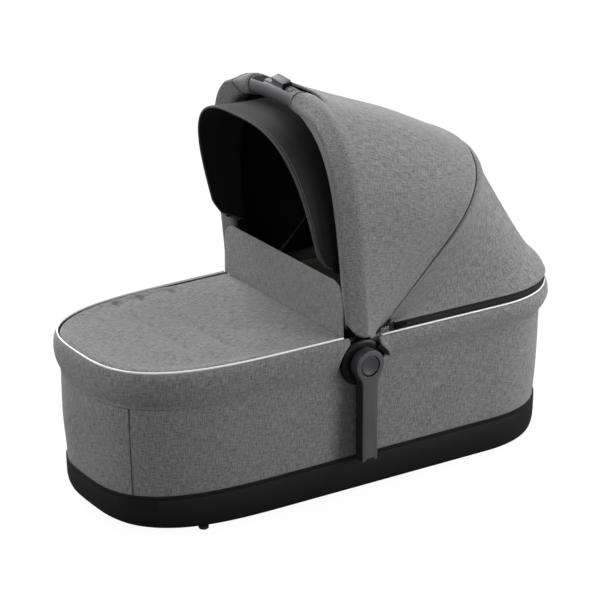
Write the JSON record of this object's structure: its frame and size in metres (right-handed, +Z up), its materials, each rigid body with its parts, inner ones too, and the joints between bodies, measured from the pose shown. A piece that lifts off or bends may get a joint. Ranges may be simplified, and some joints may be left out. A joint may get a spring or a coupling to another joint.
{
  "type": "carrycot",
  "caption": "Carrycot: padded fabric body on a moulded tray, with apron, wind flap, zip-on folding hood, carry-handle bow, sun visor and side posts that plug onto a pram frame.",
  "frame": {"origin": "on the ground, under the middle of the bounding box", "axes": "+X towards the hood and head end, +Y to the far side, +Z up"},
  "size_m": [0.8475, 0.4, 0.6541],
  "materials": {
    "grey_fabric": "matt woven melange",
    "black_fabric": "smooth coated fabric",
    "lining_fabric": "matt plain weave",
    "mattress_fabric": "soft cotton",
    "tray_plastic": "fine grain",
    "post_plastic": "satin",
    "hub_plastic": "smooth",
    "board_plastic": "plain sheet",
    "foot_rubber": "matt",
    "piping_white": "reflective piping",
    "steel": "plain",
    "aluminium": "drawn tube",
    "clear_plastic": "clear moulded"
  },
  "bodies": {
    "cot": {"base_tray": "tray_plastic", "base_board": "board_plastic", "side_wall": "grey_fabric", "wall_board": "board_plastic", "inner_lining": "lining_fabric", "mattress": "mattress_fabric", "front_band": "grey_fabric", "rear_band": "grey_fabric", "front_piping": "piping_white", "rear_piping": "piping_white", "apron": "grey_fabric", "zip_tape": "black_fabric", "zip_stop": "clear_plastic", "rim_tube_front": "steel", "rim_tube_rear": "steel", "hub_bracket_left": "post_plastic", "hub_bracket_right": "post_plastic", "hub_housing_left": "hub_plastic", "hub_housing_right": "hub_plastic", "side_post_left": "post_plastic", "side_post_right": "post_plastic", "post_rib_left": "hub_plastic", "post_rib_right": "hub_plastic", "pivot_pin_left": "steel", "pivot_pin_right": "steel", "button_spring_left": "steel", "button_spring_right": "steel", "rubber_foot_foot_end_left": "foot_rubber", "rubber_foot_foot_end_right": "foot_rubber", "rubber_foot_head_end_left": "foot_rubber", "rubber_foot_head_end_right": "foot_rubber", "rear_canopy": "grey_fabric"},
    "middle_bow": {"middle_bow": "board_plastic"},
    "handle": {"handle_arm_left": "post_plastic", "handle_arm_right": "post_plastic", "handle_tube_left": "aluminium", "handle_tube_right": "aluminium", "grip_cuff_left": "grey_fabric", "grip_cuff_right": "grey_fabric", "carry_grip": "post_plastic", "visor_clip_left": "post_plastic", "visor_clip_right": "post_plastic", "front_canopy": "grey_fabric"},
    "visor": {"sun_visor": "black_fabric"},
    "flap": {"wind_flap": "grey_fabric"},
    "release": {"release_slide": "post_plastic"},
    "button_left": {"release_button_left": "post_plastic"},
    "button_right": {"release_button_right": "post_plastic"},
    "zip_slider": {"zip_slider": "hub_plastic"}
  },
  "joints": [
    {"name": "middle_fold", "type": "hinge", "parent": "cot", "child": "middle_bow", "pos_m": [-0.014, 0, 0.228], "axis": [0, 1, 0], "range_deg": [0, 10], "deforming": ["rear_canopy"]},
    {"name": "handle_fold", "type": "hinge", "parent": "middle_bow", "child": "handle", "pos_m": [-0.014, 0, 0.228], "axis": [0, 1, 0], "range_deg": [0, 30], "deforming": ["front_canopy"]},
    {"name": "visor_fold", "type": "hinge", "parent": "handle", "child": "visor", "pos_m": [-0.047, 0, 0.385], "axis": [0, 1, 0], "range_deg": [-12, 8]},
    {"name": "flap_fold", "type": "hinge", "parent": "cot", "child": "flap", "pos_m": [-0.048, 0, 0.2765], "axis": [0, -1, 0], "range_deg": [0, 88]},
    {"name": "release_slide", "type": "slide", "parent": "handle", "child": "release", "axis": [0, -1, 0], "range_m": [0, 0.008], "stiffness_N_per_m": 300},
    {"name": "button_press_left", "type": "slide", "parent": "cot", "child": "button_left", "axis": [0, -1, 0], "range_m": [0, 0.002], "stiffness_N_per_m": 400, "deforming": ["button_spring_left"]},
    {"name": "button_press_right", "type": "slide", "parent": "cot", "child": "button_right", "axis": [0, 1, 0], "range_m": [0, 0.002], "stiffness_N_per_m": 400, "deforming": ["button_spring_right"]},
    {"name": "zip_run", "type": "slide", "parent": "cot", "child": "zip_slider", "axis": [0.9999, -0.0134, 0], "range_m": [0, 0.17]}
  ],
  "couplings": [
    {"joint": "middle_fold", "follows": "handle_fold", "ratio": 0.32}
  ]
}
